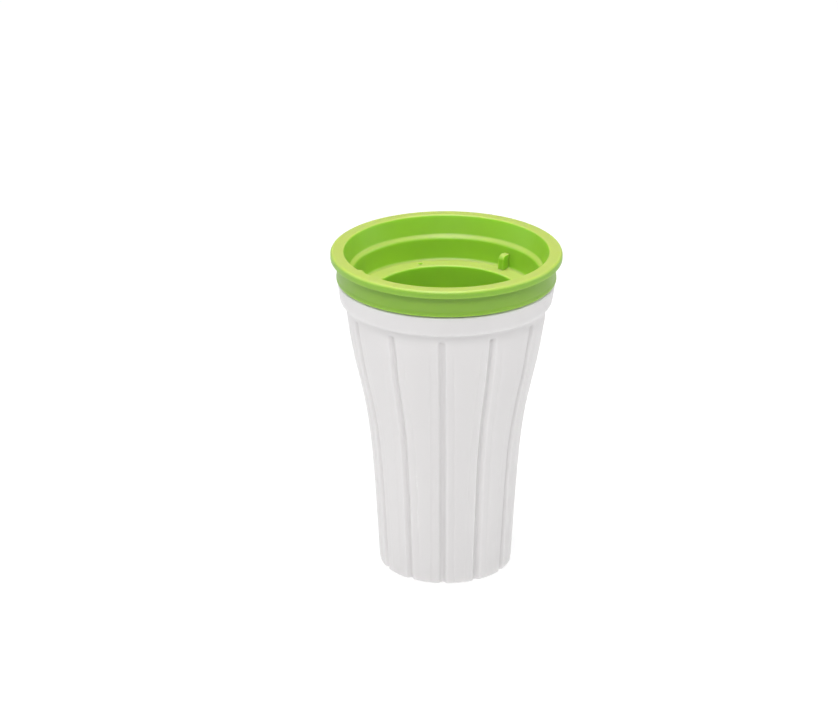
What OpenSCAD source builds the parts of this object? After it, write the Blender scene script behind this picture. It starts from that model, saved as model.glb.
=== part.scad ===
// Paw washer cup: a fluted cup whose brush unit turns in its mouth and lifts out.
// Z = 0 is the surface that the cup stands on, the cup's axis is Z, and its front faces -Y.
// Sections are drawn as [radius, height] outlines and turned about Z.

/* [Overall] */
// Height from the surface that the cup stands on to the top of the rim
total_h = 146; // [143:1:160]
// Radius of the rim's outer edge
rim_r = 50; // [49.5:0.1:51]

/* [Fluted cup] */
// Radius of the cup's side at its foot
foot_r = 29.2; // [28.8:0.1:30.5]
// Growth of the side's radius for each mm of height, apart from the flare
side_taper = 0.055; // [0.052:0.001:0.058]
// Growth of the side's radius across the flare
flare_dr = 8.1; // [7.8:0.1:8.3]
// Height of the middle of the flare
flare_h = 90; // [87:1:91]
// Length over which the flare bends
flare_bend = 12; // [11:0.5:13]
// Number of grooves around the cup
groove_count = 12; // [8:1:16]
// Width of a groove
groove_w = 2.6; // [1.5:0.1:3.5]
// Depth of a groove
groove_d = 1.9; // [1.2:0.1:2.2]
// Wall left behind a groove
groove_back = 2; // [1.6:0.1:2.2]
// Thickness of the cup's floor
floor_t = 2.6; // [2:0.1:4]
// Angle of the groove nearest the front, from -Y towards -X
groove_turn = 3; // [0:1:15]

/* [Collar] */
// Height of the smooth band around the mouth
collar_h = 8.8; // [8:0.1:9]
// Height of the hollow moulding under the band
cove_h = 6.2; // [5.5:0.1:6.5]
// Amount by which the band narrows towards its lower edge
collar_draft = 1.3; // [0.8:0.1:1.5]
// Gap seen between the green ring's skirt and the band
ring_gap = 0.7; // [0.4:0.1:0.8]

/* [Green ring] */
// Height of the skirt below the rim
skirt_h = 9.2; // [9:0.1:9.8]
// Width of the rim's flat top
rim_w = 5.7; // [5.2:0.1:6]
// Thickness of the rim's edge
rim_t = 3.2; // [2.4:0.1:3.4]
// Amount by which the rim stands out past the skirt
rim_overhang = 2.7; // [2.2:0.1:2.8]
// Depth of the bowl's ledge below the rim
ledge_depth = 19.3; // [19:0.1:20]
// Radius of the opening for the paw
opening_r = 32; // [30:0.5:32]
// Width of the small step half way down the bowl
step_w = 1.7; // [1.4:0.1:1.8]
// Depth of the step's upper edge below the rim
step_depth = 8.2; // [7.6:0.1:8.6]
// Height of the three ribs that stand on the ledge
rib_h = 6.6; // [5:0.1:8]
// Thickness of a rib
rib_t = 2.8; // [2:0.1:4]
// Amount by which a rib stands out from the bowl's wall, at the ledge
rib_out = 3.5; // [2.5:0.1:4.5]
// Radius of the pin hole in the ledge
pin_hole_r = 1; // [0.6:0.05:1.2]

/* [Brush] */
// Number of silicone strips around the cage
strip_count = 8; // [6:1:8]
// Angle that a strip covers
strip_deg = 24; // [20:1:26]
// Length of a bristle
bristle_l = 8.5; // [6:0.5:9]
// Radius of a bristle at its root
bristle_r = 0.9; // [0.6:0.05:1]
// Rows of bristles on a strip
bristle_rows = 9; // [5:1:10]
// Height of the cage's lower end above the surface
cage_low_h = 20; // [19:1:24]

/* [Hidden] */
$fn = 96;

play = 0.3;        // clearance between pieces that move past each other
touch = 0.05;      // gap between pieces that are seated on each other
past = 1;          // amount by which a cutter passes through what it cuts
wall = 1.8;        // usual wall of a green moulding

white = [0.90, 0.89, 0.87];
green = [0.51, 0.73, 0.18];
clear_grey = [0.80, 0.83, 0.82];
silicone = [0.62, 0.80, 0.36];
steel = [0.66, 0.67, 0.68];
dark_grey = [0.36, 0.37, 0.38];

// Green ring, from the outside in
skirt_r = rim_r - rim_overhang;
skirt_in_r = skirt_r - wall;
rim_in_r = rim_r - rim_w;
upper_lean = 2.3;   // amount by which the bowl's wall leans in above the step
lower_lean = 0.8;   // and below it
step_drop = 1.4;    // fall of the step from its outer to its inner edge
neck_l = 10.9;      // length of the neck below the ledge
step_out_r = rim_in_r - upper_lean;
step_in_r = step_out_r - step_w;
bowl_r = step_in_r - lower_lean;
journal_r = step_in_r + 1.6;
rim_h = total_h;
step_h = rim_h - step_depth;
step_low_h = step_h - step_drop;
thrust_h = step_low_h - 1.7;
ledge_h = rim_h - ledge_depth;
ledge_low_h = ledge_h - wall;
neck_low_h = ledge_low_h - neck_l;
neck_r = opening_r + wall;
clip_seat_d = 1;    // depth of the groove that the clip snaps into

// Mouth of the cup and the ring that is seated in it
collar_r = skirt_r - 0.3;
collar_low_r = collar_r - collar_draft;
collar_top_h = rim_h - rim_t - skirt_h - ring_gap;
collar_low_h = collar_top_h - collar_h;
cove_low_h = collar_low_h - cove_h;
skirt_low_h = collar_top_h + ring_gap;
lock_in_r = journal_r + play;
lock_out_r = lock_in_r + 1.1;
bore_r = lock_out_r + play;
rebate_r = skirt_in_r - 0.1;
gasket_t = 0.55;
rebate_h = collar_top_h - 1;
flange_h = rebate_h + gasket_t + touch;
flange_t = thrust_h - play - flange_h;
clip_h = ledge_h + 0.3;
clip_t = 1;
lock_low_h = clip_h + clip_t + play;
key_w = 5.4;
key_r = lock_out_r + 1.2;

// Cup
pad_proud = 0.4;
pad_r = 22;
pad_t = 1.6;
floor_h = pad_proud + floor_t;
side_wall = groove_d + groove_back;
foot_edge = 1.6;    // radius of the foot's rounded edge
floor_round = 4;    // height over which the inside narrows into the floor
groove_rise = 3.3;  // height to which the grooves run up into the moulding

// Brush cage
cage_wall = 1.6;
cage_collar_in_r = neck_r + 0.2;
cage_collar_r = cage_collar_in_r + 1.6;
cage_neck_h = neck_low_h - 0.2;
cage_top_h = ledge_low_h - 1.4;
cage_cone_h = cage_neck_h - 1.6;
cage_low_r = 23.5;
cage_high_r = neck_r - 0.8;
lip_w = 2.9;        // lip at the cage's lower end, which the floor rests on
lip_t = 1.2;
disc_h = cage_low_h + lip_t + touch;
disc_t = 1.5;
pad_base_t = 1.2;
peg_h = ledge_low_h - 6.9;
peg_r = 1.2;
strip_t = 1.2;
strip_low_h = cage_low_h + 7;
strip_high_h = cage_cone_h - 2;
strip_seat = cage_wall + touch;
button_hs = [strip_low_h + 4, strip_high_h - 10];

// Places around the axis, in degrees from +X
rib_angles = [48, 168, 288];
peg_angles = [for (a = rib_angles) a + 60];
pin_hole_angle = peg_angles[0];
front_groove_angle = -90 - groove_turn;

// Radius of the cup's side at height h
function side_r(h) = foot_r + side_taper * h + flare_dr / (1 + exp((flare_h - h) / flare_bend));

// Outer radius of the brush cage at height h
function cage_r(h) =
    cage_low_r + (cage_high_r - cage_low_r) * (h - cage_low_h) / (cage_cone_h - cage_low_h);

// The side's outline, moved inward by inset, from height a to height b in n steps
function side(a, b, inset, n) = [for (i = [0:n]) let (h = a + (b - a) * i / n) [side_r(h) - inset, h]];

// Points of an arc about [r, h] with half-axes a and b, from angle t0 to t1 in n steps
function arc(r, h, a, b, t0, t1, n) =
    [for (i = [0:n]) let (t = t0 + (t1 - t0) * i / n) [r + a * cos(t), h + b * sin(t)]];

module turned(points) { rotate_extrude($fn = 96) polygon(points); }

// A flat shape in [radius, height], t thick, standing on the plane through the axis at angle a
module radial_plate(a, t) {
    rotate([0, 0, a]) rotate([90, 0, 0]) linear_extrude(t, center = true) children();
}

// A round bar or taper that points outward at angle a and height h, from radius r0 to r1
module radial_bar(a, h, r0, r1, bar_r0, bar_r1) {
    rotate([0, 0, a]) translate([r0, 0, h]) rotate([0, 90, 0])
        cylinder(h = r1 - r0, r1 = bar_r0, r2 = bar_r1, $fn = 24);
}

// ---- Fluted cup ----

module cup_outline() {
    outside = concat(
        arc(side_r(0) - foot_edge, pad_proud + foot_edge, foot_edge, foot_edge, -90, 0, 4),
        side(pad_proud + 2 * foot_edge, cove_low_h, 0, 22),
        arc(collar_low_r, cove_low_h, side_r(cove_low_h) - collar_low_r, cove_h, 0, 90, 6),
        [[collar_low_r + 0.3, collar_low_h + 0.5], [collar_r, collar_top_h - 0.6]],
        arc(collar_r - 0.6, collar_top_h - 0.6, 0.6, 0.6, 30, 90, 2)
    );
    mouth = [[rebate_r, collar_top_h], [rebate_r, rebate_h], [bore_r, rebate_h], [bore_r, lock_low_h - 3]];
    inside = concat(
        [for (i = [18:-1:0]) side(floor_h + floor_round, cove_low_h, side_wall, 18)[i]],
        [[side_r(floor_h) - side_wall - 3, floor_h], [0, floor_h], [0, pad_proud]]
    );
    polygon(concat(outside, mouth, inside));
}

// What one groove takes away: everything outside the groove's floor, up to the cove
module groove_cut() {
    floor_line = side(-past, cove_low_h, groove_d, 22);
    polygon(concat(floor_line, [
        [side_r(cove_low_h) + 0.4, cove_low_h + groove_rise],
        [rim_r, cove_low_h + groove_rise],
        [rim_r, -past]
    ]));
}

module outer_cup() {
    color(white) difference() {
        rotate_extrude($fn = 96) cup_outline();
        for (i = [0:groove_count - 1])
            radial_plate(front_groove_angle + i * 360 / groove_count, groove_w) groove_cut();
        for (a = rib_angles) rotate([0, 0, a])
            translate([bore_r - past, -key_w / 2 - play, lock_low_h - 0.5])
                cube([key_r + play - bore_r + past, key_w + 2 * play, total_h]);
        translate([0, 0, pad_proud - past]) cylinder(h = pad_t - pad_proud + past, r = pad_r + touch);
    }
}

module base_pad() {
    color(dark_grey) difference() {
        cylinder(h = pad_t - touch, r = pad_r);
        translate([0, 0, -past]) difference() {
            cylinder(h = past + 0.3, r = pad_r - 4);
            cylinder(h = past + 0.3, r = pad_r - 6);
        }
    }
}

// ---- Bearing in the mouth ----

module lock_ring() {
    color(white) {
        turned([
            [lock_in_r, lock_low_h], [lock_out_r, lock_low_h], [lock_out_r, flange_h],
            [rebate_r - play, flange_h], [rebate_r - play, flange_h + flange_t - 0.3],
            [rebate_r - play - 0.3, flange_h + flange_t], [lock_in_r, flange_h + flange_t]
        ]);
        for (a = rib_angles) rotate([0, 0, a])
            translate([lock_out_r - 0.4, -key_w / 2, lock_low_h])
                cube([key_r - lock_out_r + 0.4, key_w, rebate_h - lock_low_h]);
    }
}

module mouth_gasket() {
    color(clear_grey) difference() {
        translate([0, 0, rebate_h]) cylinder(h = gasket_t, r = rebate_r - play);
        translate([0, 0, rebate_h - past]) cylinder(h = gasket_t + 2 * past, r = bore_r);
        for (a = rib_angles) rotate([0, 0, a])
            translate([bore_r - past, -key_w / 2 - play, rebate_h - past])
                cube([key_r + play - bore_r + past, key_w + 2 * play, gasket_t + 2 * past]);
    }
}

module retaining_clip() {
    clip_opening = 12;
    color(steel) rotate([0, 0, 90 + clip_opening / 2])
        rotate_extrude(angle = 360 - clip_opening, $fn = 96)
            translate([journal_r - clip_seat_d + 0.1, clip_h])
                square([lock_out_r - journal_r + clip_seat_d - 0.2, clip_t]);
}

// ---- Green ring ----

module ring_outline() {
    under = [
        [neck_r, neck_low_h], [neck_r, ledge_low_h], [journal_r - 0.5, ledge_low_h],
        [journal_r, ledge_low_h + 0.5], [journal_r, clip_h - 0.1], [journal_r - clip_seat_d, clip_h - 0.1],
        [journal_r - clip_seat_d, clip_h + clip_t + 0.1], [journal_r, clip_h + clip_t + 0.1],
        [journal_r, thrust_h],
        [step_out_r + 1.7, thrust_h], [step_out_r + 1.7, step_h - 0.2], [skirt_in_r - 0.9, step_h + 2.8],
        [skirt_in_r, step_h + 2.2], [skirt_in_r, skirt_low_h]
    ];
    outside = concat(
        [[skirt_r, skirt_low_h], [skirt_r, rim_h - rim_t]],
        arc(rim_r - 0.7, rim_h - rim_t + 0.7, 0.7, 0.7, -90, 0, 3),
        arc(rim_r - 0.7, rim_h - 0.7, 0.7, 0.7, 0, 90, 3)
    );
    bowl = concat(
        arc(rim_in_r + 1, rim_h - 1, 1, 1, 90, 180, 3),
        [[step_out_r, step_h + 0.4], [step_out_r - 0.4, step_h], [step_in_r + 0.3, step_low_h + 0.4]],
        [[step_in_r, step_low_h], [bowl_r, ledge_h + 0.8], [bowl_r - 0.8, ledge_h]],
        arc(opening_r + 0.8, ledge_h - 0.8, 0.8, 0.8, 90, 180, 3),
        [[opening_r, neck_low_h]]
    );
    polygon(concat(under, outside, bowl));
}

// A rib stands on the ledge against the bowl's wall, its inner top corner rounded
module rib_outline() {
    rib_in_r = bowl_r - rib_out;
    corner = 2.4;
    polygon(concat(
        [[bowl_r + 1.2, ledge_h - 0.5], [bowl_r + 1.2, ledge_h + rib_h]],
        arc(rib_in_r + corner, ledge_h + rib_h - corner, corner, corner, 90, 180, 5),
        [[rib_in_r, ledge_h - 0.5]]
    ));
}

module top_ring() {
    color(green) {
        difference() {
            rotate_extrude($fn = 96) ring_outline();
            rotate([0, 0, pin_hole_angle]) translate([bowl_r - rib_out, 0, ledge_low_h - past])
                cylinder(h = wall + 2 * past, r = pin_hole_r, $fn = 24);
        }
        for (a = rib_angles) radial_plate(a, rib_t) rib_outline();
        for (a = peg_angles) radial_bar(a, peg_h, neck_r - 0.6, cage_collar_r - 0.2, peg_r, peg_r);
    }
}

// ---- Brush cage ----

module cage_outline() {
    polygon([
        [cage_low_r - lip_w, cage_low_h], [cage_low_r, cage_low_h], [cage_high_r, cage_cone_h],
        [cage_collar_r, cage_cone_h], [cage_collar_r, cage_top_h], [cage_collar_in_r, cage_top_h],
        [cage_collar_in_r, cage_neck_h], [cage_high_r - cage_wall, cage_neck_h],
        [cage_high_r - cage_wall, cage_cone_h],
        [cage_r(cage_low_h + lip_t) - cage_wall, cage_low_h + lip_t],
        [cage_low_r - lip_w, cage_low_h + lip_t]
    ]);
}

// A bayonet slot: down from the collar's top, then across to the peg at angle a
module bayonet_slot(a) {
    slot_r = peg_r + 0.2;
    turn_deg = 14;
    end_deg = 3;
    cut_t = cage_collar_r - cage_collar_in_r + 2 * past;
    rotate([0, 0, a + turn_deg]) translate([cage_collar_in_r - past, -slot_r, peg_h])
        cube([cut_t, 2 * slot_r, total_h]);
    rotate([0, 0, a - end_deg]) rotate_extrude(angle = turn_deg + 2 * end_deg, $fn = 96)
        translate([cage_collar_in_r - past, peg_h - slot_r]) square([cut_t, 2 * slot_r]);
}

module brush_cage() {
    window_w = 3.4;
    window_rows = 5;
    window_pitch = (strip_high_h - strip_low_h) / window_rows;
    color(green) difference() {
        rotate_extrude($fn = 96) cage_outline();
        for (a = peg_angles) bayonet_slot(a);
        for (i = [0:strip_count - 1], j = [0:window_rows - 1])
            rotate([0, 0, (i + 0.5) * 360 / strip_count])
                translate([cage_low_r - 5, -window_w / 2, strip_low_h + (j + 0.15) * window_pitch])
                    cube([20, window_w, window_pitch * 0.7]);
        for (i = [0:strip_count - 1], h = button_hs)
            radial_bar(i * 360 / strip_count, h, cage_r(h) - 4, cage_r(h) + 4, 1.6, 1.6);
    }
}

module cage_floor() {
    hole_count = 12;
    color(green) difference() {
        translate([0, 0, disc_h]) cylinder(h = disc_t, r = cage_r(disc_h) - cage_wall - touch);
        for (i = [0:hole_count - 1]) rotate([0, 0, i * 360 / hole_count])
            translate([19.6, 0, disc_h - past]) cylinder(h = disc_t + 2 * past, r = 1.1, $fn = 24);
    }
}

// A bristle is a taper with a blunt end
module bristle(l) { cylinder(h = l, r1 = bristle_r, r2 = bristle_r / 2, $fn = 16); }

module sole_pad() {
    short_l = 5;
    ring_pitch = 6;
    color(silicone) translate([0, 0, disc_h + disc_t + touch]) {
        cylinder(h = pad_base_t, r = 17.6);
        translate([0, 0, pad_base_t - 0.2]) {
            bristle(short_l);
            for (ring = [1, 2], i = [0:6 * ring - 1])
                rotate([0, 0, i * 60 / ring]) translate([ring_pitch * ring, 0, 0]) bristle(short_l);
        }
    }
}

module brush_strip(i) {
    backing = [
        [cage_r(strip_low_h) - strip_seat, strip_low_h], [cage_r(strip_high_h) - strip_seat, strip_high_h],
        [cage_r(strip_high_h) - strip_seat - strip_t, strip_high_h],
        [cage_r(strip_low_h) - strip_seat - strip_t, strip_low_h]
    ];
    row_pitch = (strip_high_h - strip_low_h - 5) / bristle_rows;
    button_r = 1.4;
    head_r = 2.4;
    color(silicone) rotate([0, 0, i * 360 / strip_count]) {
        rotate([0, 0, -strip_deg / 2]) rotate_extrude(angle = strip_deg, $fn = 96) polygon(backing);
        for (j = [0:bristle_rows - 1], s = [-1, 1]) {
            h = strip_low_h + 4 + (j + (s + 1) / 4) * row_pitch;
            rotate([0, 0, s * strip_deg / 4]) translate([cage_r(h) - strip_seat - strip_t + 0.3, 0, h])
                rotate([0, -90, 0]) bristle(bristle_l);
        }
        for (h = button_hs) {
            radial_bar(0, h, cage_r(h) - strip_seat - 0.6, cage_r(h) + 0.6, button_r, button_r);
            radial_bar(0, h, cage_r(h) + 0.4, cage_r(h) + 1.2, head_r, head_r - 0.6);
        }
    }
}

outer_cup();
base_pad();
lock_ring();
mouth_gasket();
top_ring();
retaining_clip();
brush_cage();
cage_floor();
sole_pad();
for (i = [1:strip_count])
    brush_strip(i - 1);
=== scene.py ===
"""Paw washer cup: detailed pieces and materials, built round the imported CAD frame.

Outlines are (radius, height) points in millimetres, turned about Z. Meshes are made in metres.
The cup stands on Z = 0 with its axis on Z and its front towards -Y.
"""
import math
import random

import bmesh
import bpy
from mathutils import Matrix, Vector


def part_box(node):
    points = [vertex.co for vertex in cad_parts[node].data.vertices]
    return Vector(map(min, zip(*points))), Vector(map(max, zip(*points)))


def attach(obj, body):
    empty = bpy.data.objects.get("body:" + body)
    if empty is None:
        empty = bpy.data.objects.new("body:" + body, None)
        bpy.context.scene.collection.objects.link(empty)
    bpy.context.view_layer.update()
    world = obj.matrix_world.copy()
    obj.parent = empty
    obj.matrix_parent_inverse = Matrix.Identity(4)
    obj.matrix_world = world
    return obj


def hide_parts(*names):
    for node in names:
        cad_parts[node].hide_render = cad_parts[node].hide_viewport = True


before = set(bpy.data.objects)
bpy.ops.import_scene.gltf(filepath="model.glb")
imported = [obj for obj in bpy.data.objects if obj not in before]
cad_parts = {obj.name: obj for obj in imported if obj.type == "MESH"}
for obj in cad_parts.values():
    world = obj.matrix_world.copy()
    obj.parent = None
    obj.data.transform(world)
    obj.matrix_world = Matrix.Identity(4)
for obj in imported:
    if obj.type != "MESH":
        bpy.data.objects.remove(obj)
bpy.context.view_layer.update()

MM = 0.001
TAU = 2 * math.pi


def node_box(node):
    """Lowest and highest corner of a CAD node in millimetres."""
    low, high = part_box(node)
    return low / MM, high / MM


# ---- Sizes, in millimetres ----

ring_low, ring_high = node_box("top_ring")
cup_low, cup_high = node_box("outer_cup")
cage_low, cage_high = node_box("brush_cage")

PLAY = 0.3
TOUCH = 0.05
WALL = 1.8
RING_GAP = 0.7

# Green ring, from the rim inward
RIM_R = round(ring_high.x, 1)
RIM_H = ring_high.z
RIM_T = 3.2
RIM_W = 5.7
RIM_OVERHANG = 2.7
UPPER_LEAN = 2.3
LOWER_LEAN = 0.8
STEP_W = 1.7
STEP_DROP = 1.4
STEP_DEPTH = 8.2
LEDGE_DEPTH = 19.3
OPENING_R = 32.0
SKIRT_R = RIM_R - RIM_OVERHANG
SKIRT_IN_R = SKIRT_R - WALL
SKIRT_LIP = 0.2
RIM_IN_R = RIM_R - RIM_W
STEP_OUT_R = RIM_IN_R - UPPER_LEAN
STEP_IN_R = STEP_OUT_R - STEP_W
BOWL_R = STEP_IN_R - LOWER_LEAN
JOURNAL_R = STEP_IN_R + 1.6
NECK_R = OPENING_R + WALL
STEP_H = RIM_H - STEP_DEPTH
STEP_LOW_H = STEP_H - STEP_DROP
THRUST_H = STEP_LOW_H - 1.7
LEDGE_H = RIM_H - LEDGE_DEPTH
LEDGE_LOW_H = LEDGE_H - WALL
NECK_LOW_H = ring_low.z
RIB_ANGLES = (48, 168, 288)
RIB_H = 6.6
RIB_T = 2.8
RIB_OUT = 3.5
PEG_ANGLES = [angle + 60 for angle in RIB_ANGLES]
PEG_H = LEDGE_LOW_H - 6.9
PEG_R = 1.2
PEG_L = 2.4
PIN_HOLE_ANGLE = PEG_ANGLES[0]
PIN_HOLE_R = 1.0

# Cup
FOOT_R = 29.2
SIDE_TAPER = 0.055
FLARE_DR = 8.1
FLARE_H = 90.0
FLARE_BEND = 12.0
PAD_PROUD = cup_low.z
FOOT_EDGE = 1.6
FLOOR_H = PAD_PROUD + 2.6
FLOOR_ROUND = 4.0
GROOVES = 12
GROOVE_FLAT = 0.3
GROOVE_EDGE = 2.1
GROOVE_D = 1.3
GROOVE_RISE = 1.2
LOWERED_EDGE = 4.9
LOWERED_SLOPE = 0.7
LOWERED_D = 0.2
FRONT_GROOVE = -93
SIDE_WALL = 3.9
COLLAR_TOP_H = cup_high.z
COLLAR_LOW_H = COLLAR_TOP_H - 8.8
COLLAR_EDGE = 0.9
COVE_LOW_H = COLLAR_LOW_H - 6.2
COLLAR_R = SKIRT_R - 0.3
COLLAR_LOW_R = COLLAR_R - 1.3
REBATE_R = SKIRT_IN_R - 0.1
REBATE_H = COLLAR_TOP_H - 1
PAD_R = 22.0
PAD_T = 1.6
PAD_RINGS = (6, 9, 12, 15, 18)

# Bearing in the mouth
CLIP_H = LEDGE_H + 0.3
CLIP_T = 1.0
CLIP_SEAT_D = 1.0
CLIP_OPENING_DEG = 12
GASKET_T = 0.55
LOCK_LOW_H = CLIP_H + CLIP_T + PLAY
LOCK_IN_R = JOURNAL_R + PLAY
LOCK_OUT_R = LOCK_IN_R + 1.1
BORE_R = LOCK_OUT_R + PLAY
FLANGE_R = REBATE_R - PLAY
FLANGE_H = REBATE_H + GASKET_T + TOUCH
KEY_W = 5.4
KEY_R = LOCK_OUT_R + 1.2

# Brush cage
CAGE_LOW_H = cage_low.z
CAGE_TOP_H = cage_high.z
CAGE_WALL = 1.6
CAGE_LIP_W = 2.9
CAGE_LIP_T = 1.2
CAGE_COLLAR_IN_R = NECK_R + 0.2
CAGE_COLLAR_R = CAGE_COLLAR_IN_R + 1.6
CAGE_NECK_H = NECK_LOW_H - 0.2
CAGE_CONE_H = CAGE_NECK_H - 1.6
CAGE_LOW_R = 23.5
CAGE_HIGH_R = NECK_R - 0.8
BAND_H = 1.6
BAND_PROUD = 0.45
WINDOW_ROWS = 5
WINDOW_W = 3.4
WINDOW_SHARE = 0.7
SLOT_TURN_DEG = 14
SLOT_ENTRY_DEG = 5
FLOOR_DISC_H = CAGE_LOW_H + CAGE_LIP_T + TOUCH
FLOOR_DISC_T = 1.5
DRAIN_HOLES = 12
DRAIN_HOLE_R = 1.1
DRAIN_RING_R = 19.6
SOLE_R = 17.6
SOLE_T = 1.2
SOLE_PITCH = 6
SOLE_BRISTLE_L = 4.8
STRIPS = 8
STRIP_DEG = 24
STRIP_T = 1.2
STRIP_LOW_H = CAGE_LOW_H + 7
STRIP_HIGH_H = CAGE_CONE_H - 2
STRIP_SEAT = CAGE_WALL + TOUCH
BUTTON_HEIGHTS = (STRIP_LOW_H + 4, STRIP_HIGH_H - 10)
BUTTON_HOLE_R = 1.6
BRISTLE_L = 8.5
BRISTLE_R = 0.9
BRISTLE_ROWS = 9


def side_r(h):
    """Radius of the cup's side at height h."""
    return FOOT_R + SIDE_TAPER * h + FLARE_DR / (1 + math.exp((FLARE_H - h) / FLARE_BEND))


def cage_r(h):
    """Outer radius of the brush cage at height h."""
    return CAGE_LOW_R + (CAGE_HIGH_R - CAGE_LOW_R) * (h - CAGE_LOW_H) / (CAGE_CONE_H - CAGE_LOW_H)


def smoothstep(t):
    """0 below 0, 1 above 1, and smooth between."""
    t = min(1.0, max(0.0, t))
    return t * t * (3 - 2 * t)


# ---- Outlines ----

def rounded(corners, steps=4):
    """A closed outline. A corner is (r, h) or (r, h, radius), and one with a radius is rounded."""
    points = []
    count = len(corners)
    for i, corner in enumerate(corners):
        here = Vector(corner[:2])
        if len(corner) == 2:
            points.append(tuple(here))
            continue
        before = Vector(corners[i - 1][:2]) - here
        after = Vector(corners[(i + 1) % count][:2]) - here
        half = before.angle(after) / 2
        reach = corner[2] / math.tan(half)
        centre = here + (before.normalized() + after.normalized()).normalized() * corner[2] / math.sin(half)
        start = here + before.normalized() * reach - centre
        turn = start.angle_signed(here + after.normalized() * reach - centre)
        for k in range(steps + 1):
            points.append(tuple(centre + Matrix.Rotation(-turn * k / steps, 2) @ start))
    return points


def arc(r, h, a, b, t0, t1, steps):
    """Points of an arc about (r, h) with half-axes a and b, from t0 to t1 degrees."""
    angles = [math.radians(t0 + (t1 - t0) * i / steps) for i in range(steps + 1)]
    return [(r + a * math.cos(t), h + b * math.sin(t)) for t in angles]


def spaced(points, most):
    """The same outline with long stretches divided, so that no step is over most."""
    result = []
    for a, b in zip(points, points[1:] + points[:1]):
        n = max(1, math.ceil(math.dist(a, b) / most))
        result += [(a[0] + (b[0] - a[0]) * k / n, a[1] + (b[1] - a[1]) * k / n) for k in range(n)]
    return result


# ---- Solids ----

class Solid:
    """Closed shells gathered as vertices, in millimetres, and faces."""

    def __init__(self):
        self.verts = []
        self.faces = []

    def add(self, verts, faces, matrix=None):
        """Adds one shell, moved by matrix."""
        start = len(self.verts)
        moved = [matrix @ Vector(v) for v in verts] if matrix else [Vector(v) for v in verts]
        self.verts += moved
        self.faces += [[start + i for i in f] for f in faces]

    def revolve(self, outline, cols=240, start=0.0, sweep=360.0):
        """A closed outline turned about Z."""
        whole = sweep == 360.0
        lines = cols if whole else cols + 1
        verts = []
        for i in range(lines):
            t = math.radians(start + sweep * i / cols)
            verts += [(r * math.cos(t), r * math.sin(t), h) for r, h in outline]
        n = len(outline)
        faces = []
        for i in range(cols):
            a, b = i * n, (i + 1) % lines * n
            faces += [(a + j, b + j, b + (j + 1) % n, a + (j + 1) % n) for j in range(n)]
        if not whole:
            faces += [tuple(range(n)), tuple(reversed(range(cols * n, cols * n + n)))]
        self.add(verts, faces)

    def lathe(self, profile, matrix, cols=24, bend=(0.0, 0.0)):
        """A solid of revolution about local Z from (r, z) points, closed with a point at each end.

        bend moves the far end sideways by that much, growing with the square of the height."""
        top = profile[-1][1]
        verts = [(0, 0, profile[0][1])]
        for r, z in profile:
            k = (z / top) ** 2
            for i in range(cols):
                t = TAU * i / cols
                verts.append((r * math.cos(t) + bend[0] * k, r * math.sin(t) + bend[1] * k, z))
        verts.append((bend[0], bend[1], top))
        faces = [(0, 1 + (i + 1) % cols, 1 + i) for i in range(cols)]
        for j in range(len(profile) - 1):
            a, b = 1 + j * cols, 1 + (j + 1) * cols
            faces += [(a + i, a + (i + 1) % cols, b + (i + 1) % cols, b + i) for i in range(cols)]
        last = 1 + (len(profile) - 1) * cols
        faces += [(last + i, last + (i + 1) % cols, len(verts) - 1) for i in range(cols)]
        self.add(verts, faces, matrix)

    def plate(self, outline, thickness, angle, bevel):
        """A flat outline in the plane through the axis at angle, with its edges rounded."""
        bm = bmesh.new()
        half = thickness / 2
        low = [bm.verts.new((r, -half, h)) for r, h in outline]
        high = [bm.verts.new((r, half, h)) for r, h in outline]
        n = len(outline)
        bm.faces.new(low)
        bm.faces.new(list(reversed(high)))
        for i in range(n):
            bm.faces.new((low[i], high[i], high[(i + 1) % n], low[(i + 1) % n]))
        rims = [e for e in bm.edges if abs(e.verts[0].co.y - e.verts[1].co.y) < 1e-6]
        bmesh.ops.bevel(bm, geom=rims, offset=bevel, segments=3, profile=0.5, affect="EDGES")
        self.add_bmesh(bm, Matrix.Rotation(math.radians(angle), 4, "Z"))

    def block(self, low, high, angle=0.0, bevel=0.0):
        """A box between two corners, turned about Z, its edges rounded where bevel is set."""
        bm = bmesh.new()
        bmesh.ops.create_cube(bm, size=1)
        size = Vector(high) - Vector(low)
        for v in bm.verts:
            v.co = Vector(low) + Vector((v.co[k] + 0.5) * size[k] for k in range(3))
        if bevel:
            bmesh.ops.bevel(bm, geom=bm.edges[:], offset=bevel, segments=3, profile=0.5, affect="EDGES")
        self.add_bmesh(bm, Matrix.Rotation(math.radians(angle), 4, "Z"))

    def add_bmesh(self, bm, matrix):
        """Adds a bmesh, moved by matrix, and frees it."""
        bm.verts.index_update()
        faces = [[v.index for v in f.verts] for f in bm.faces]
        self.add([v.co.copy() for v in bm.verts], faces, matrix)
        bm.free()

    def object(self, name, sharp=38.0):
        """The Blender object, in metres, smooth apart from edges sharper than sharp degrees."""
        mesh = bpy.data.meshes.new(name)
        mesh.from_pydata([v * MM for v in self.verts], [], self.faces)
        bm = bmesh.new()
        bm.from_mesh(mesh)
        bmesh.ops.remove_doubles(bm, verts=bm.verts, dist=1e-7)
        bmesh.ops.dissolve_degenerate(bm, dist=1e-7, edges=bm.edges)
        bmesh.ops.delete(bm, geom=[e for e in bm.edges if not e.link_faces], context="EDGES")
        bmesh.ops.recalc_face_normals(bm, faces=bm.faces)
        bm.to_mesh(mesh)
        bm.free()
        obj = bpy.data.objects.new(name, mesh)
        bpy.context.scene.collection.objects.link(obj)
        smooth(obj, sharp)
        return obj


def smooth(obj, sharp):
    """Smooth shading, with edges sharper than sharp degrees kept."""
    obj.data.shade_smooth()
    obj.data.set_sharp_from_angle(angle=math.radians(sharp))


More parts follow.
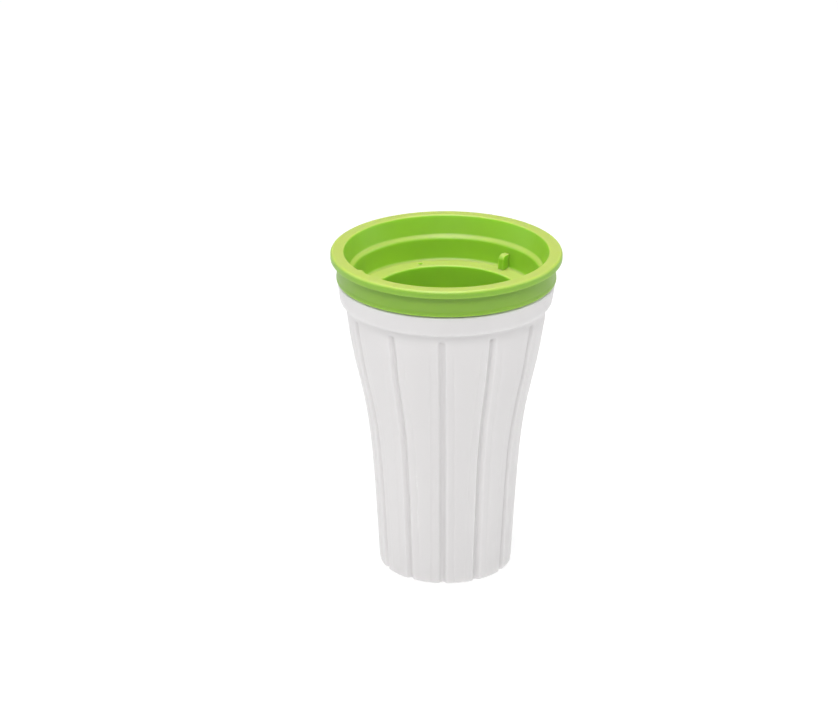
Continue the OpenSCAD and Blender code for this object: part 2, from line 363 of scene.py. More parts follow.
def apply_modifier(obj, kind, **settings):
    """Adds a modifier and applies it to the mesh."""
    mod = obj.modifiers.new(kind.lower(), kind)
    for key, value in settings.items():
        setattr(mod, key, value)
    depsgraph = bpy.context.evaluated_depsgraph_get()
    mesh = bpy.data.meshes.new_from_object(obj.evaluated_get(depsgraph))
    obj.modifiers.clear()
    obj.data = mesh


def cut(obj, cutter, sharp=38.0):
    """Takes the cutter's solids out of obj."""
    tool = cutter.object("cutter")
    apply_modifier(obj, "BOOLEAN", operation="DIFFERENCE", solver="EXACT", object=tool)
    bpy.data.objects.remove(tool)
    smooth(obj, sharp)


def even_normals(obj):
    """Keeps flat and straight stretches flat in shading next to their rounded edges."""
    mod = obj.modifiers.new("even_normals", "WEIGHTED_NORMAL")
    mod.keep_sharp = True
    mod.weight = 80


def outward(angle, r, h):
    """Placement of a bar's local Z outward along angle, starting at radius r and height h."""
    turn = Matrix.Rotation(math.radians(angle), 4, "Z")
    return turn @ Matrix.Translation((r, 0, h)) @ Matrix.Rotation(math.pi / 2, 4, "Y")


def rod(r0, length, edge=0.3):
    """Lathe profile of a round bar with rounded ends."""
    ends = [(r0 - edge, 0.0), (r0 - 0.3 * edge, 0.3 * edge), (r0, edge)]
    return ends + [(r, length - z) for r, z in reversed(ends)]


# ---- Materials ----

def linear(*rgb):
    """A colour given as 0 to 255 on screen, in the renderer's linear values."""
    values = [c / 255 for c in rgb]
    return tuple(c / 12.92 if c <= 0.04045 else ((c + 0.055) / 1.055) ** 2.4 for c in values) + (1.0,)


class Nodes:
    """A material's node tree, with short ways to add the nodes used here."""

    def __init__(self, name):
        self.material = bpy.data.materials.new(name)
        self.material.use_nodes = True
        self.tree = self.material.node_tree
        self.shader = self.tree.nodes["Principled BSDF"]
        self.place = self.tree.nodes.new("ShaderNodeTexCoord").outputs["Object"]

    def link(self, source, target):
        self.tree.links.new(source, target)

    def noise(self, scale, detail=3.0, roughness=0.5, stretch=(1, 1, 1)):
        """Noise with that many cells to the metre, stretched along the axes."""
        mapping = self.tree.nodes.new("ShaderNodeMapping")
        mapping.inputs["Scale"].default_value = stretch
        self.link(self.place, mapping.inputs["Vector"])
        node = self.tree.nodes.new("ShaderNodeTexNoise")
        node.inputs["Scale"].default_value = scale
        node.inputs["Detail"].default_value = detail
        node.inputs["Roughness"].default_value = roughness
        self.link(mapping.outputs[0], node.inputs["Vector"])
        return node.outputs["Fac"]

    def spread(self, source, from_low, from_high, to_low, to_high):
        """source between two values, stretched to two others and held at the ends."""
        node = self.tree.nodes.new("ShaderNodeMapRange")
        node.inputs["From Min"].default_value = from_low
        node.inputs["From Max"].default_value = from_high
        node.inputs["To Min"].default_value = to_low
        node.inputs["To Max"].default_value = to_high
        self.link(source, node.inputs["Value"])
        return node.outputs["Result"]

    def mix(self, factor, a, b):
        """Colour a where factor is 0, b where it is 1; either may be a socket or a colour."""
        node = self.tree.nodes.new("ShaderNodeMix")
        node.data_type = "RGBA"
        self.link(factor, node.inputs["Factor"])
        for value, key in ((a, "A"), (b, "B")):
            socket = next(s for s in node.inputs if s.name == key and s.type == "RGBA")
            if isinstance(value, tuple):
                socket.default_value = value
            else:
                self.link(value, socket)
        return next(s for s in node.outputs if s.type == "RGBA")

    def math(self, operation, a, b):
        """A math node on two sockets or numbers."""
        node = self.tree.nodes.new("ShaderNodeMath")
        node.operation = operation
        for value, socket in ((a, node.inputs[0]), (b, node.inputs[1])):
            if isinstance(value, (int, float)):
                socket.default_value = value
            else:
                self.link(value, socket)
        return node.outputs[0]

    def edges(self, low=0.505, high=0.56):
        """1 along convex edges and 0 on flat faces."""
        point = self.tree.nodes.new("ShaderNodeNewGeometry").outputs["Pointiness"]
        return self.spread(point, low, high, 0.0, 1.0)

    def facing_up(self):
        """1 on faces that look up and 0 on upright and hanging ones."""
        split = self.tree.nodes.new("ShaderNodeSeparateXYZ")
        self.link(self.tree.nodes.new("ShaderNodeNewGeometry").outputs["Normal"], split.inputs[0])
        return self.spread(split.outputs["Z"], 0.3, 0.95, 0.0, 1.0)

    def facing_out(self):
        """1 on upright faces that look away from the cup's axis and 0 on the others."""
        geometry = self.tree.nodes.new("ShaderNodeNewGeometry")
        level = self.tree.nodes.new("ShaderNodeVectorMath")
        level.operation = "MULTIPLY"
        level.inputs[1].default_value = (1, 1, 0)
        self.link(geometry.outputs["Position"], level.inputs[0])
        away = self.tree.nodes.new("ShaderNodeVectorMath")
        away.operation = "NORMALIZE"
        self.link(level.outputs[0], away.inputs[0])
        dot = self.tree.nodes.new("ShaderNodeVectorMath")
        dot.operation = "DOT_PRODUCT"
        self.link(away.outputs[0], dot.inputs[0])
        self.link(geometry.outputs["Normal"], dot.inputs[1])
        return self.spread(dot.outputs["Value"], 0.2, 0.8, 0.0, 1.0)

    def bump(self, height, distance, strength=1.0):
        """Bumps the surface by height times distance, in metres."""
        node = self.tree.nodes.new("ShaderNodeBump")
        node.inputs["Strength"].default_value = strength
        node.inputs["Distance"].default_value = distance
        self.link(height, node.inputs["Height"])
        self.link(node.outputs[0], self.shader.inputs["Normal"])

    def set(self, **values):
        """Sets the shader's own sockets; a name's underscores stand for spaces."""
        for key, value in values.items():
            self.shader.inputs[key.replace("_", " ")].default_value = value


def moulded_plastic(name, colour, deep, worn, rough, grain, painted_top_light=None, painted_outer_shade=None, glow=None):
    """Moulded plastic: mottled colour, flow marks, worn edges, uneven gloss and a fine sparked grain.

    Faces that look up may take a lighter, yellower colour, which is painted top light, and outward faces a
    darker, duller one, which is painted shade.
    glow says how far red, green and blue light pass into it, in millimetres."""
    m = Nodes(name)
    mottle = m.spread(m.noise(55, 4), 0.35, 0.65, 0.0, 1.0)
    flow = m.spread(m.noise(38, 2, 0.4, (1, 1, 0.12)), 0.42, 0.62, 0.0, 1.0)
    base = m.mix(m.math("MULTIPLY", mottle, 0.55), colour, deep)
    # Painted shade: outward faces are mixed towards a darker, duller colour.
    base = m.mix(m.facing_out(), base, painted_outer_shade or colour)
    # Painted top light: faces that look up are mixed towards a lighter, yellower colour.
    base = m.mix(m.facing_up(), base, painted_top_light or colour)
    scuffs = m.spread(m.noise(900, 5, 0.7), 0.45, 0.62, 0.25, 1.0)
    wear = m.math("MULTIPLY", m.edges(), scuffs)
    m.link(m.mix(m.math("MULTIPLY", wear, 0.55), base, worn), m.shader.inputs["Base Color"])
    uneven = m.math("ADD", m.math("MULTIPLY", flow, 0.05), m.math("MULTIPLY", mottle, 0.05))
    uneven = m.math("ADD", uneven, m.math("MULTIPLY", wear, 0.08))
    m.link(m.math("ADD", uneven, rough), m.shader.inputs["Roughness"])
    fine = m.noise(4200, 2, 0.6)
    ripple = m.math("MULTIPLY", m.noise(130, 2, 0.5, (1, 1, 0.4)), 2.2)
    m.bump(m.math("ADD", fine, ripple), grain)
    m.set(IOR=1.49, Specular_IOR_Level=0.5)
    if glow:
        m.set(Subsurface_Weight=0.6, Subsurface_Radius=glow, Subsurface_Scale=MM)
    return m.material


def silicone_rubber(name, colour, deep, rough=0.42, depth=0.0025, grain=0.00004):
    """Soft silicone: light passes a little way in, with a dusty, uneven gloss."""
    m = Nodes(name)
    mottle = m.spread(m.noise(90, 4), 0.35, 0.65, 0.0, 1.0)
    dust = m.spread(m.noise(1600, 4, 0.7), 0.5, 0.7, 0.0, 1.0)
    base = m.mix(mottle, colour, deep)
    rubbed = m.math("MULTIPLY", m.edges(), 0.35)
    m.link(m.mix(rubbed, base, linear(226, 240, 200)), m.shader.inputs["Base Color"])
    m.link(m.math("ADD", m.math("MULTIPLY", dust, 0.14), rough), m.shader.inputs["Roughness"])
    m.bump(m.math("ADD", m.noise(2600, 3, 0.6), m.noise(260, 2)), grain)
    m.set(IOR=1.41, Subsurface_Weight=0.35, Subsurface_Radius=(0.7, 1.0, 0.35), Subsurface_Scale=depth)
    return m.material


def spring_steel():
    """Stainless spring steel, drawn along the ring, with fine lines and a few dull spots."""
    m = Nodes("spring_steel")
    lines = m.noise(1400, 3, 0.6, (1, 1, 14))
    spots = m.spread(m.noise(420, 4, 0.6), 0.55, 0.7, 0.0, 1.0)
    m.link(m.mix(spots, linear(196, 198, 200), linear(160, 163, 166)), m.shader.inputs["Base Color"])
    m.link(m.spread(lines, 0.3, 0.7, 0.22, 0.4), m.shader.inputs["Roughness"])
    m.bump(lines, 0.00002)
    m.set(Metallic=1.0)
    return m.material


def rubber_pad():
    """Matt grey thermoplastic rubber with a pebbled skin."""
    m = Nodes("rubber_pad")
    pebbles = m.tree.nodes.new("ShaderNodeTexVoronoi")
    pebbles.inputs["Scale"].default_value = 1500
    m.link(m.place, pebbles.inputs["Vector"])
    dust = m.spread(m.noise(300, 4, 0.6), 0.45, 0.7, 0.0, 1.0)
    m.link(m.mix(dust, linear(92, 95, 97), linear(122, 124, 124)), m.shader.inputs["Base Color"])
    m.link(m.spread(dust, 0.0, 1.0, 0.62, 0.8), m.shader.inputs["Roughness"])
    m.bump(m.math("MULTIPLY", pebbles.outputs["Distance"], -1.0), 0.00012)
    return m.material


WHITE_PLASTIC = moulded_plastic(
    "white_plastic", linear(220, 218, 218), linear(216, 214, 214), linear(234, 233, 233), 0.34, 0.00003,
    glow=(5.0, 5.0, 5.0))
BEARING_PLASTIC = moulded_plastic(
    "bearing_plastic", linear(238, 238, 236), linear(230, 231, 230), linear(248, 248, 247), 0.28, 0.00001)
# Green ring: its colour for faces that look up is painted top light, and its colour for outward faces is
# painted shade.
GREEN_PLASTIC = moulded_plastic(
    "green_plastic", linear(145, 196, 49), linear(138, 189, 44), linear(172, 208, 92), 0.38, 0.00003,
    painted_top_light=linear(171, 187, 92), painted_outer_shade=linear(131, 173, 54), glow=(4.0, 5.0, 1.0))
# Cage: its colour for faces that look up is painted top light.
CAGE_PLASTIC = moulded_plastic(
    "cage_plastic", linear(136, 192, 46), linear(128, 184, 40), linear(170, 206, 88), 0.44, 0.00004,
    painted_top_light=linear(160, 190, 76), glow=(2.4, 3.0, 0.6))
BRUSH_SILICONE = silicone_rubber("brush_silicone", linear(206, 229, 158), linear(196, 222, 146))
GASKET_SILICONE = silicone_rubber("gasket_silicone", linear(214, 219, 217), linear(205, 211, 209), 0.5, 0.001)
SPRING_STEEL = spring_steel()
RUBBER_PAD = rubber_pad()


def finish_piece(obj, material, body, slot, *nodes):
    """Gives a piece its material and body, and hides the CAD nodes that it stands for. The slot argument is
    not used.
    """
    obj.data.materials.clear()
    obj.data.materials.append(material)
    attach(obj, body)
    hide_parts(*nodes)
    return obj


# ---- Fluted cup ----

def groove_depth(s, h):
    """Depth of a groove s mm to the side of its middle, at height h; its upper end is round."""
    top = COVE_LOW_H + GROOVE_RISE
    away = math.hypot(s, h - top) if h > top else abs(s)
    return GROOVE_D * (1 - smoothstep((away - GROOVE_FLAT) / (GROOVE_EDGE - GROOVE_FLAT)))


def panel_step(s, h):
    """Offset of the face beside a groove from the rest of the panel, fading out under the cove."""
    fade = smoothstep((COVE_LOW_H - 3 - h) / 6)
    return LOWERED_D * (smoothstep((abs(s) - LOWERED_EDGE) / LOWERED_SLOPE) - 1) * fade


def cup_outline():
    """From the middle of the underside, up the outside, over the mouth and down to the floor's middle."""
    foot_h = PAD_PROUD
    foot_r = side_r(0) - FOOT_EDGE
    recess_h = PAD_T + TOUCH
    recess_r = PAD_R + TOUCH
    under = [(0, recess_h), (8, recess_h), (16, recess_h), (recess_r - 0.2, recess_h)]
    under += [(recess_r, recess_h - 0.2), (recess_r, foot_h + 0.25), (recess_r + 0.25, foot_h)]
    under += [(PAD_R + 2 + 0.5 * k, foot_h) for k in range(int((foot_r - PAD_R - 2) / 0.5) + 1)]
    bend = arc(foot_r, foot_h + FOOT_EDGE, FOOT_EDGE, FOOT_EDGE, -90, 0, 8)
    heights = [foot_h + FOOT_EDGE + 1 + k * 1.6 for k in range(68)]
    heights = [h for h in heights if h < COVE_LOW_H - 3]
    heights += [COVE_LOW_H - 3 + 0.3 * k for k in range(10)]
    side = [(side_r(h), h) for h in heights]
    cove_w = side_r(COVE_LOW_H) - COLLAR_LOW_R
    cove = arc(COLLAR_LOW_R, COVE_LOW_H, cove_w, COLLAR_LOW_H - COVE_LOW_H, 0, 86, 20)
    collar = [(COLLAR_LOW_R + 0.05, COLLAR_LOW_H + 0.12), (COLLAR_LOW_R + 0.22, COLLAR_LOW_H + 0.4)]
    start_r = COLLAR_LOW_R + 0.3
    for k in range(1, 6):
        collar.append((start_r + (COLLAR_R - start_r) * k / 6, COLLAR_LOW_H + 0.6 + 7.3 * k / 6))
    collar += arc(COLLAR_R - COLLAR_EDGE, COLLAR_TOP_H - COLLAR_EDGE, COLLAR_EDGE, COLLAR_EDGE, 8, 90, 7)
    mouth = [(REBATE_R + 0.2, COLLAR_TOP_H), (REBATE_R, COLLAR_TOP_H - 0.2), (REBATE_R, REBATE_H + 0.1)]
    mouth += [(REBATE_R - 0.1, REBATE_H), (BORE_R + 0.2, REBATE_H), (BORE_R, REBATE_H - 0.2)]
    mouth += [(BORE_R, LOCK_LOW_H + 1), (BORE_R, LOCK_LOW_H - 2.7), (BORE_R - 0.2, LOCK_LOW_H - 3.1)]
    corner_h = FLOOR_H + FLOOR_ROUND
    corner_r = side_r(corner_h) - SIDE_WALL
    down = [COVE_LOW_H - (COVE_LOW_H - corner_h) * k / 60 for k in range(61)]
    inside = [(side_r(h) - SIDE_WALL, h) for h in down]
    inside += arc(corner_r - FLOOR_ROUND, corner_h, FLOOR_ROUND, FLOOR_ROUND, 0, -90, 8)[1:]
    inside += [(14, FLOOR_H), (6, FLOOR_H), (0, FLOOR_H)]
    return under + bend + side + cove + collar + mouth + inside


def key_slots(low_h):
    """Cutters for the places where the bearing's keys go in, from low_h up."""
    slots = Solid()
    half = KEY_W / 2 + PLAY
    for angle in RIB_ANGLES:
        slots.block((BORE_R - 1, -half, low_h), (KEY_R + PLAY, half, RIM_H), angle)
    return slots


def column_offsets():
    """Distances round the cup from a groove's middle, in mm, close together where the face bends."""
    slope = (GROOVE_EDGE - GROOVE_FLAT) / 8
    groove = [0] + [GROOVE_FLAT + slope * k for k in range(9)]
    panel = [LOWERED_EDGE + LOWERED_SLOPE * k / 4 for k in range(5)]
    return groove + [2.2, 3.4, LOWERED_EDGE - 0.3] + panel + [6.0]


def build_cup():
    """The fluted shell: one outline turned about Z, pressed in where a groove runs."""
    outline = cup_outline()
    outer_count = next(i for i, (r, h) in enumerate(outline) if h >= COLLAR_LOW_H)
    foot_row = max(i for i, (r, h) in enumerate(outline) if h == PAD_PROUD)
    foot_r = outline[foot_row][0]
    half_panel = math.pi / GROOVES
    near = column_offsets()
    verts = []
    ring_size = 0
    for row, (r, h) in enumerate(outline):
        reach = side_r(min(max(h, 0), COVE_LOW_H))
        edge_angle = near[-1] / reach
        ring = []
        for g in range(GROOVES):
            middle = math.radians(FRONT_GROOVE) + g * 2 * half_panel
            beside = [s / reach for s in near]
            beside += [edge_angle + (half_panel - edge_angle) * k for k in (0.25, 0.5, 0.75)]
            offsets = [-a for a in reversed(beside[1:])] + beside + [half_panel]
            for a in offsets:
                s = a * reach
                pressed = r
                if row < foot_row:
                    pressed = min(r, foot_r - groove_depth(s, h) - 0.02 * (foot_row - row))
                elif row < outer_count:
                    pressed = r - groove_depth(s, h)
                    if PAD_PROUD + 1 < h < COVE_LOW_H:
                        pressed += panel_step(s, h)
                ring.append((pressed * math.cos(middle + a), pressed * math.sin(middle + a), h))
        ring_size = len(ring)
        verts += ring
    faces = []
    for row in range(len(outline) - 1):
        low = row * ring_size
        high = low + ring_size
        for i in range(ring_size):
            j = (i + 1) % ring_size
            faces.append((low + i, low + j, high + j, high + i))
    cup = Solid()
    cup.add(verts, faces)
    obj = cup.object("outer_cup_shell", 50)
    cut(obj, key_slots(LOCK_LOW_H - 0.5), 50)
    return finish_piece(obj, WHITE_PLASTIC, "cup", "cup_white", "outer_cup")


def build_base_pad():
    """Non-slip pad with moulded rings on its underside."""
    under = [(0, 0.0), (5, 0.0)]
    for r in PAD_RINGS:
        under += [(r, 0.0), (r + 0.25, 0.35), (r + 0.75, 0.35), (r + 1.0, 0.0)]
    outline = under + [(PAD_R - 0.4, 0.0), (PAD_R - 0.12, 0.12), (PAD_R, 0.4)]
    outline += [(PAD_R, PAD_T - 0.15), (PAD_R - 0.15, PAD_T), (0, PAD_T)]
    pad = Solid()
    pad.revolve(outline, 160)
    obj = pad.object("base_pad_ringed")
    return finish_piece(obj, RUBBER_PAD, "cup", "pad_grey", "base_pad")


# ---- Bearing in the mouth ----

def build_lock_ring():
    """Bearing ring with a flange above and three keys below."""
    top = THRUST_H - PLAY
    ring = Solid()
    outline = rounded([
        (LOCK_IN_R, LOCK_LOW_H, 0.2), (LOCK_OUT_R, LOCK_LOW_H, 0.2), (LOCK_OUT_R, FLANGE_H, 0.15),
        (FLANGE_R, FLANGE_H, 0.15), (FLANGE_R, top, 0.3), (LOCK_IN_R, top, 0.25)])
    ring.revolve(spaced(outline, 1.2), 240)
    for angle in RIB_ANGLES:
        low = (LOCK_OUT_R - 0.3, -KEY_W / 2, LOCK_LOW_H + 0.05)
        ring.block(low, (KEY_R, KEY_W / 2, REBATE_H), angle, 0.25)
    obj = ring.object("lock_ring_keyed")
    even_normals(obj)
    return finish_piece(obj, BEARING_PLASTIC, "bearing", "bearing_white", "lock_ring")


def build_gasket():
    """Flat gasket under the flange, notched where the keys pass."""
    gasket = Solid()
    gasket.revolve(rounded([
        (BORE_R, REBATE_H, 0.1), (FLANGE_R, REBATE_H, 0.1),
        (FLANGE_R, REBATE_H + GASKET_T, 0.1), (BORE_R, REBATE_H + GASKET_T, 0.1)]), 240)
    obj = gasket.object("mouth_gasket_sheet")
    cut(obj, key_slots(REBATE_H - 1))
    return finish_piece(obj, GASKET_SILICONE, "bearing", "gasket_clear", "mouth_gasket")


def build_clip():
    """Split spring ring in the journal's groove."""
    clip = Solid()
    in_r = JOURNAL_R - CLIP_SEAT_D + 0.1
    out_r = LOCK_OUT_R - 0.1
    top = CLIP_H + CLIP_T
    outline = rounded([(in_r, CLIP_H, 0.2), (out_r, CLIP_H, 0.2), (out_r, top, 0.2), (in_r, top, 0.2)])
    clip.revolve(outline, 220, 90 + CLIP_OPENING_DEG / 2, 360 - CLIP_OPENING_DEG)
    obj = clip.object("retaining_clip_spring")
    return finish_piece(obj, SPRING_STEEL, "brush_unit", "clip_steel", "retaining_clip")


# ---- Green ring ----

def ring_outline():
    """Section of the green ring, from the neck's foot round the outside and back down the bowl."""
    skirt_low_h = COLLAR_TOP_H + RING_GAP
    lip_r = SKIRT_R + SKIRT_LIP
    seat_r = JOURNAL_R - CLIP_SEAT_D
    seat_low_h = CLIP_H - 0.1
    seat_high_h = CLIP_H + CLIP_T + 0.1
    thrust_r = STEP_OUT_R + 1.7
    return rounded([
        (NECK_R, NECK_LOW_H, 0.4), (NECK_R, LEDGE_LOW_H, 0.6), (JOURNAL_R, LEDGE_LOW_H, 0.5),
        (JOURNAL_R, seat_low_h), (seat_r, seat_low_h), (seat_r, seat_high_h), (JOURNAL_R, seat_high_h),
        (JOURNAL_R, THRUST_H, 0.15), (thrust_r, THRUST_H, 0.3), (thrust_r, STEP_H - 0.2, 0.5),
        (SKIRT_IN_R - 0.9, STEP_H + 2.8, 0.2), (SKIRT_IN_R, STEP_H + 2.2, 0.2),
        (SKIRT_IN_R, skirt_low_h, 0.3), (lip_r, skirt_low_h, 0.3), (lip_r, skirt_low_h + 0.9, 0.5),
        (SKIRT_R, skirt_low_h + 2.0, 1.5), (SKIRT_R, RIM_H - RIM_T, 0.35),
        (RIM_R, RIM_H - RIM_T, 0.35), (RIM_R, RIM_H, 1.3), (RIM_IN_R, RIM_H, 0.8),
        (STEP_OUT_R, STEP_H, 1.5), (STEP_IN_R, STEP_LOW_H, 1.8), (BOWL_R, LEDGE_H, 1.4),
        (OPENING_R, LEDGE_H, 0.9), (OPENING_R, NECK_LOW_H, 0.4)], 6)


def rib_outline():
    """A rib against the bowl's wall, its inner top corner round and its foot spread on the ledge."""
    inner = BOWL_R - RIB_OUT
    root = BOWL_R + 1.2
    sunk = LEDGE_H - 0.4
    top = LEDGE_H + RIB_H
    corner = 2.2
    spread = 0.7
    outline = [(root, sunk), (root, top)]
    outline += arc(inner + corner, top - corner, corner, corner, 90, 180, 8)
    outline += arc(inner - spread, LEDGE_H + 0.4, spread, spread, 0, -90, 4)
    return outline + [(inner - spread, sunk)]


def build_top_ring():
    """Rim, skirt, stepped bowl with its ribs and pin hole, and the neck with its pegs."""
    ring = Solid()
    ring.revolve(spaced(ring_outline(), 1.5), 288)
    obj = ring.object("top_ring_shell")
    hole = Solid()
    turn = Matrix.Rotation(math.radians(PIN_HOLE_ANGLE), 4, "Z")
    at = turn @ Matrix.Translation((BOWL_R - RIB_OUT, 0, LEDGE_LOW_H - 1))
    depth = LEDGE_H - LEDGE_LOW_H + 1
    hole.lathe([(PIN_HOLE_R, 0), (PIN_HOLE_R, depth - 0.2), (PIN_HOLE_R + 0.4, depth + 0.2)], at, 24)
    cut(obj, hole)
    ribs = Solid()
    for angle, peg_angle in zip(RIB_ANGLES, PEG_ANGLES):
        ribs.plate(rib_outline(), RIB_T, angle, 0.35)
        low = (BOWL_R - 1.2, RIB_T / 2 - 0.5, LEDGE_H - 0.4)
        high = (BOWL_R + 1, RIB_T / 2 + 1.0, LEDGE_H + RIB_H - 2.0)
        ribs.block(low, high, angle, 0.3)
        ribs.lathe(rod(PEG_R, PEG_L), outward(peg_angle, NECK_R - 0.6, PEG_H))
    join(obj, ribs.object("ribs"))
    even_normals(obj)
    return finish_piece(obj, GREEN_PLASTIC, "brush_unit", "ring_green", "top_ring")


def join(obj, other):
    """Moves other's mesh into obj."""
    bm = bmesh.new()
    bm.from_mesh(obj.data)
    bm.from_mesh(other.data)
    bm.to_mesh(obj.data)
    bm.free()
    bpy.data.objects.remove(other)


# ---- Brush cage ----

def stadium(width, height, steps=6):
    """Upright slot shape about the origin, with round ends."""
    r = width / 2
    top = arc(0, height / 2 - r, r, r, 0, 180, steps)
    low = arc(0, r - height / 2, r, r, 180, 360, steps)
    return top + low


def radial_prism(solid, shape, angle, h, r0, r1):
    """Adds a flat shape, upright at height h, pushed outward from r0 to r1 along angle."""
    n = len(shape)
    verts = [(r0, y, h + z) for y, z in shape] + [(r1, y, h + z) for y, z in shape]
    faces = [tuple(reversed(range(n))), tuple(range(n, 2 * n))]
    faces += [(i, (i + 1) % n, n + (i + 1) % n, n + i) for i in range(n)]
    solid.add(verts, faces, Matrix.Rotation(math.radians(angle), 4, "Z"))


def cage_outline():
    """Section of the cage: lip, tapered tube with two bands, and the collar that takes the neck."""
    lip_in_r = CAGE_LOW_R - CAGE_LIP_W
    lip_h = CAGE_LOW_H + CAGE_LIP_T
    outline = [(lip_in_r, CAGE_LOW_H, 0.3), (CAGE_LOW_R, CAGE_LOW_H, 0.5)]
    for low in (STRIP_LOW_H - 2.2, CAGE_CONE_H - 3.2):
        high = low + BAND_H
        outline += [(cage_r(low), low, 0.1), (cage_r(low) + BAND_PROUD, low, 0.25)]
        outline += [(cage_r(high) + BAND_PROUD, high, 0.25), (cage_r(high), high, 0.1)]
    outline += [
        (CAGE_HIGH_R, CAGE_CONE_H, 0.3), (CAGE_COLLAR_R, CAGE_CONE_H, 0.5), (CAGE_COLLAR_R, CAGE_TOP_H, 0.5),
        (CAGE_COLLAR_IN_R, CAGE_TOP_H, 0.3), (CAGE_COLLAR_IN_R, CAGE_NECK_H, 0.1),
        (CAGE_HIGH_R - CAGE_WALL, CAGE_NECK_H, 0.4), (cage_r(lip_h) - CAGE_WALL, lip_h, 0.1),
        (lip_in_r, lip_h, 0.3)]
    return rounded(outline)


def cage_windows():
    """Cutters for the water windows between the strips and for the holes of the strips' buttons."""
    windows = Solid()
    pitch = (STRIP_HIGH_H - STRIP_LOW_H) / WINDOW_ROWS
    shape = stadium(WINDOW_W, pitch * WINDOW_SHARE)
    for i in range(STRIPS):
        for j in range(WINDOW_ROWS):
            middle = STRIP_LOW_H + (j + 0.5) * pitch
            radial_prism(windows, shape, (i + 0.5) * 360 / STRIPS, middle, CAGE_LOW_R - 6, RIM_R)
        for h in BUTTON_HEIGHTS:
            at = outward(i * 360 / STRIPS, cage_r(h) - 4, h)
            windows.lathe([(BUTTON_HOLE_R, 0), (BUTTON_HOLE_R, 8)], at, 24)
    return windows


def bayonet_slots():
    """Cutters for the slots that the neck's pegs turn along, and for their ways in from above."""
    runs = Solid()
    entries = Solid()
    before = 3.3
    r0 = CAGE_COLLAR_IN_R - 1
    r1 = CAGE_COLLAR_R + 1
    low = PEG_H - PEG_R - 0.2
    high = PEG_H + PEG_R + 0.2
    top = CAGE_TOP_H + 2
    for peg in PEG_ANGLES:
        run = [(r0, low), (r1, low), (r1, high), (r0, high)]
        runs.revolve(run, 10, peg - before, before + SLOT_TURN_DEG + 1)
        entry = [(r0, low), (r1, low), (r1, top), (r0, top)]
        entries.revolve(entry, 4, peg + SLOT_TURN_DEG, SLOT_ENTRY_DEG)
    return runs, entries


def build_cage():
    """Tapered tube with water windows, button holes and a bayonet collar."""
    body = Solid()
    body.revolve(spaced(cage_outline(), 4.0), 192)
    obj = body.object("brush_cage_tube")
    cut(obj, cage_windows())
    for cutter in bayonet_slots():
        cut(obj, cutter)
    return finish_piece(obj, CAGE_PLASTIC, "brush_unit", "cage_green", "brush_cage")


def build_cage_floor():
    """Perforated disc in the cage's lower end."""
    disc_r = cage_r(FLOOR_DISC_H) - CAGE_WALL - TOUCH
    top = FLOOR_DISC_H + FLOOR_DISC_T
    disc = Solid()
    outline = rounded([(0, FLOOR_DISC_H), (disc_r, FLOOR_DISC_H, 0.25), (disc_r, top, 0.35), (0, top)])
    disc.revolve(spaced(outline, 3.0), 120)
    obj = disc.object("cage_floor_disc")
    holes = Solid()
    for i in range(DRAIN_HOLES):
        turn = Matrix.Rotation(math.radians(i * 360 / DRAIN_HOLES), 4, "Z")
        at = turn @ Matrix.Translation((DRAIN_RING_R, 0, FLOOR_DISC_H - 1))
        holes.lathe([(DRAIN_HOLE_R, 0), (DRAIN_HOLE_R, 4)], at, 20)
    cut(obj, holes)
    return finish_piece(obj, CAGE_PLASTIC, "brush_unit", "cage_green", "cage_floor")


def bristle(solid, at, length, chance):
    """A soft bristle: spread foot, taper, round tip, leaning a little to one side."""
    tip = BRISTLE_R * 0.5
    profile = [(BRISTLE_R + 0.5, 0.0), (BRISTLE_R + 0.12, 0.25), (BRISTLE_R, 0.6)]
    profile += [(BRISTLE_R + (tip - BRISTLE_R) * k / 4, 0.6 + (length - 1.1) * k / 4) for k in range(1, 5)]
    profile += [(tip * 0.8, length - 0.2), (tip * 0.35, length)]
    lean = length * 0.05
    bend = (chance.uniform(-lean, lean), chance.uniform(-lean, lean))
    solid.lathe(profile, at, 12, bend)


def build_sole_pad(chance):
    """Round silicone pad whose bristles stand up from the cage's floor."""
    low = FLOOR_DISC_H + FLOOR_DISC_T + TOUCH
    top = low + SOLE_T
    pad = Solid()
    outline = rounded([(0, low), (SOLE_R, low, 0.2), (SOLE_R, top, 0.5), (0, top)])
    pad.revolve(spaced(outline, 2.0), 120)
    bristle(pad, Matrix.Translation((0, 0, top - 0.05)), SOLE_BRISTLE_L, chance)
    for ring in (1, 2):
        for i in range(6 * ring):
            turn = Matrix.Rotation(math.radians(i * 60 / ring), 4, "Z")
            at = turn @ Matrix.Translation((SOLE_PITCH * ring, 0, top - 0.05))
            bristle(pad, at, SOLE_BRISTLE_L, chance)
    obj = pad.object("sole_pad_bristled", 55)
    return finish_piece(obj, BRUSH_SILICONE, "brush_unit", "brush_silicone", "sole_pad")


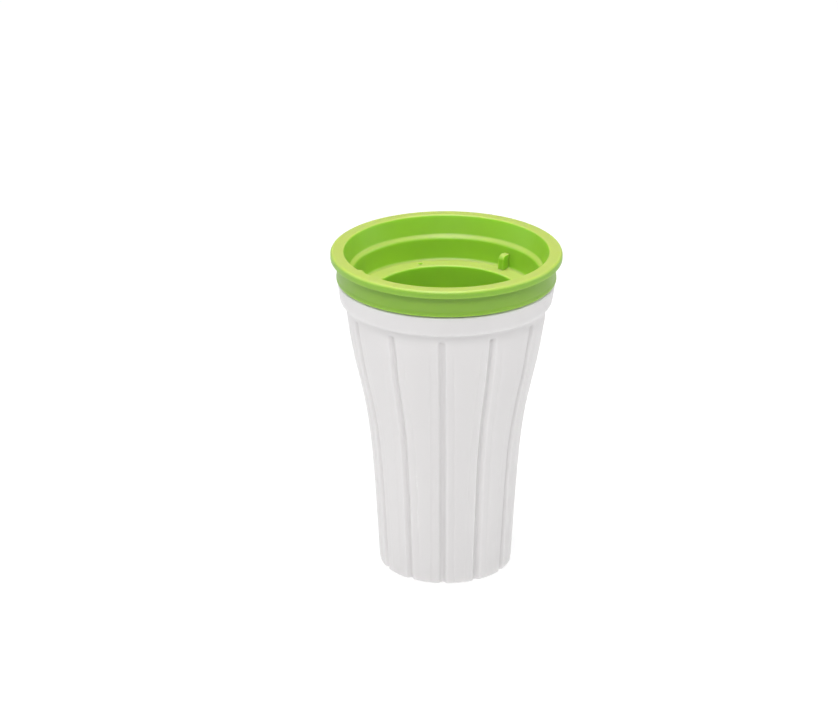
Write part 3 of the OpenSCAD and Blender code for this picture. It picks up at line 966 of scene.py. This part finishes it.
def build_strip(index, chance):
    """One silicone strip: curved backing, two staggered columns of bristles, two buttons."""
    strip = Solid()
    back = STRIP_SEAT
    front = STRIP_SEAT + STRIP_T
    low_r = cage_r(STRIP_LOW_H)
    high_r = cage_r(STRIP_HIGH_H)
    backing = rounded([
        (low_r - back, STRIP_LOW_H, 0.2), (high_r - back, STRIP_HIGH_H, 0.2),
        (high_r - front, STRIP_HIGH_H, 0.4), (low_r - front, STRIP_LOW_H, 0.4)], 3)
    middle = index * 360 / STRIPS
    strip.revolve(spaced(backing, 3.0), 14, middle - STRIP_DEG / 2, STRIP_DEG)
    pitch = (STRIP_HIGH_H - STRIP_LOW_H - 5) / BRISTLE_ROWS
    inward = Matrix.Rotation(-math.pi, 4, "Y")
    for row in range(BRISTLE_ROWS):
        for side in (-1, 1):
            h = STRIP_LOW_H + 4 + (row + (side + 1) / 4) * pitch
            at = outward(middle + side * STRIP_DEG / 4, cage_r(h) - front + 0.1, h) @ inward
            bristle(strip, at, BRISTLE_L - 0.2, chance)
    head = [(1.4, 0), (1.4, 2.65), (2.3, 2.75), (2.4, 3.0), (2.2, 3.35), (1.7, 3.6), (0.9, 3.72)]
    for h in BUTTON_HEIGHTS:
        strip.lathe(head, outward(middle, cage_r(h) - back - 0.6, h), 24)
    name = f"brush_strip_{index + 1}"
    obj = strip.object(name + "_bristled", 55)
    return finish_piece(obj, BRUSH_SILICONE, "brush_unit", "brush_silicone", name)


# ---- Stage ----

def build_stage():
    """Pale floor, white surroundings and soft lights."""
    floor = bpy.data.meshes.new("floor")
    reach = 9.0
    corners = [(-reach, -reach, 0), (reach, -reach, 0), (reach, reach, 0), (-reach, reach, 0)]
    floor.from_pydata(corners, [], [(0, 1, 2, 3)])
    floor_obj = bpy.data.objects.new("floor", floor)
    bpy.context.scene.collection.objects.link(floor_obj)
    m = Nodes("pale_floor")
    m.set(Base_Color=(0.3, 0.3, 0.3, 1), Roughness=0.9, Specular_IOR_Level=0.0)
    m.set(Emission_Color=(1, 1, 1, 1), Emission_Strength=0.76)
    floor.materials.append(m.material)

    world = bpy.data.worlds.new("studio")
    world.use_nodes = True
    world.node_tree.nodes["Background"].inputs["Color"].default_value = (1, 1, 1, 1)
    world.node_tree.nodes["Background"].inputs["Strength"].default_value = 0.15
    bpy.context.scene.world = world

    for name, place, size, power in (
        ("top_light", (-0.05, 0.1, 1.6), 1.0, 17.5),
        ("front_light", (-0.1, -0.95, 1.25), 0.7, 14.0),
        ("left_light", (-1.35, 0.15, 0.7), 1.0, 5.5),
        ("right_light", (1.35, 0.15, 0.7), 1.0, 5.5),
    ):
        light = bpy.data.lights.new(name, "AREA")
        light.shape = "DISK"
        light.size = size
        light.energy = power
        lamp = bpy.data.objects.new(name, light)
        lamp.location = place
        lamp.rotation_euler = (Vector((0, 0, 0.08)) - Vector(place)).to_track_quat("-Z", "Y").to_euler()
        bpy.context.scene.collection.objects.link(lamp)


def build_camera():
    """The camera looks along +Y and down, from about one and a half metres."""
    rim = Vector((0, 0, RIM_H * MM))
    raise_deg = 20.6
    tilt_deg = 22.36
    away = 1.5
    lens = 149.7
    aside = -0.0118
    camera = bpy.data.cameras.new("camera")
    camera.lens = lens
    camera.sensor_width = 36.0
    camera.clip_start = 0.05
    obj = bpy.data.objects.new("camera", camera)
    raised = math.radians(raise_deg)
    obj.location = rim + Vector((aside, -away * math.cos(raised), away * math.sin(raised)))
    obj.rotation_euler = (math.radians(90 - tilt_deg), 0, 0)
    bpy.context.scene.collection.objects.link(obj)
    bpy.context.scene.camera = obj
    bpy.context.scene.view_settings.view_transform = "Standard"


build_camera()
build_stage()
build_cup()
build_base_pad()
build_lock_ring()
build_gasket()
build_clip()
build_top_ring()
build_cage()
build_cage_floor()
luck = random.Random(20)
build_sole_pad(luck)
for strip_index in range(STRIPS):
    build_strip(strip_index, luck)
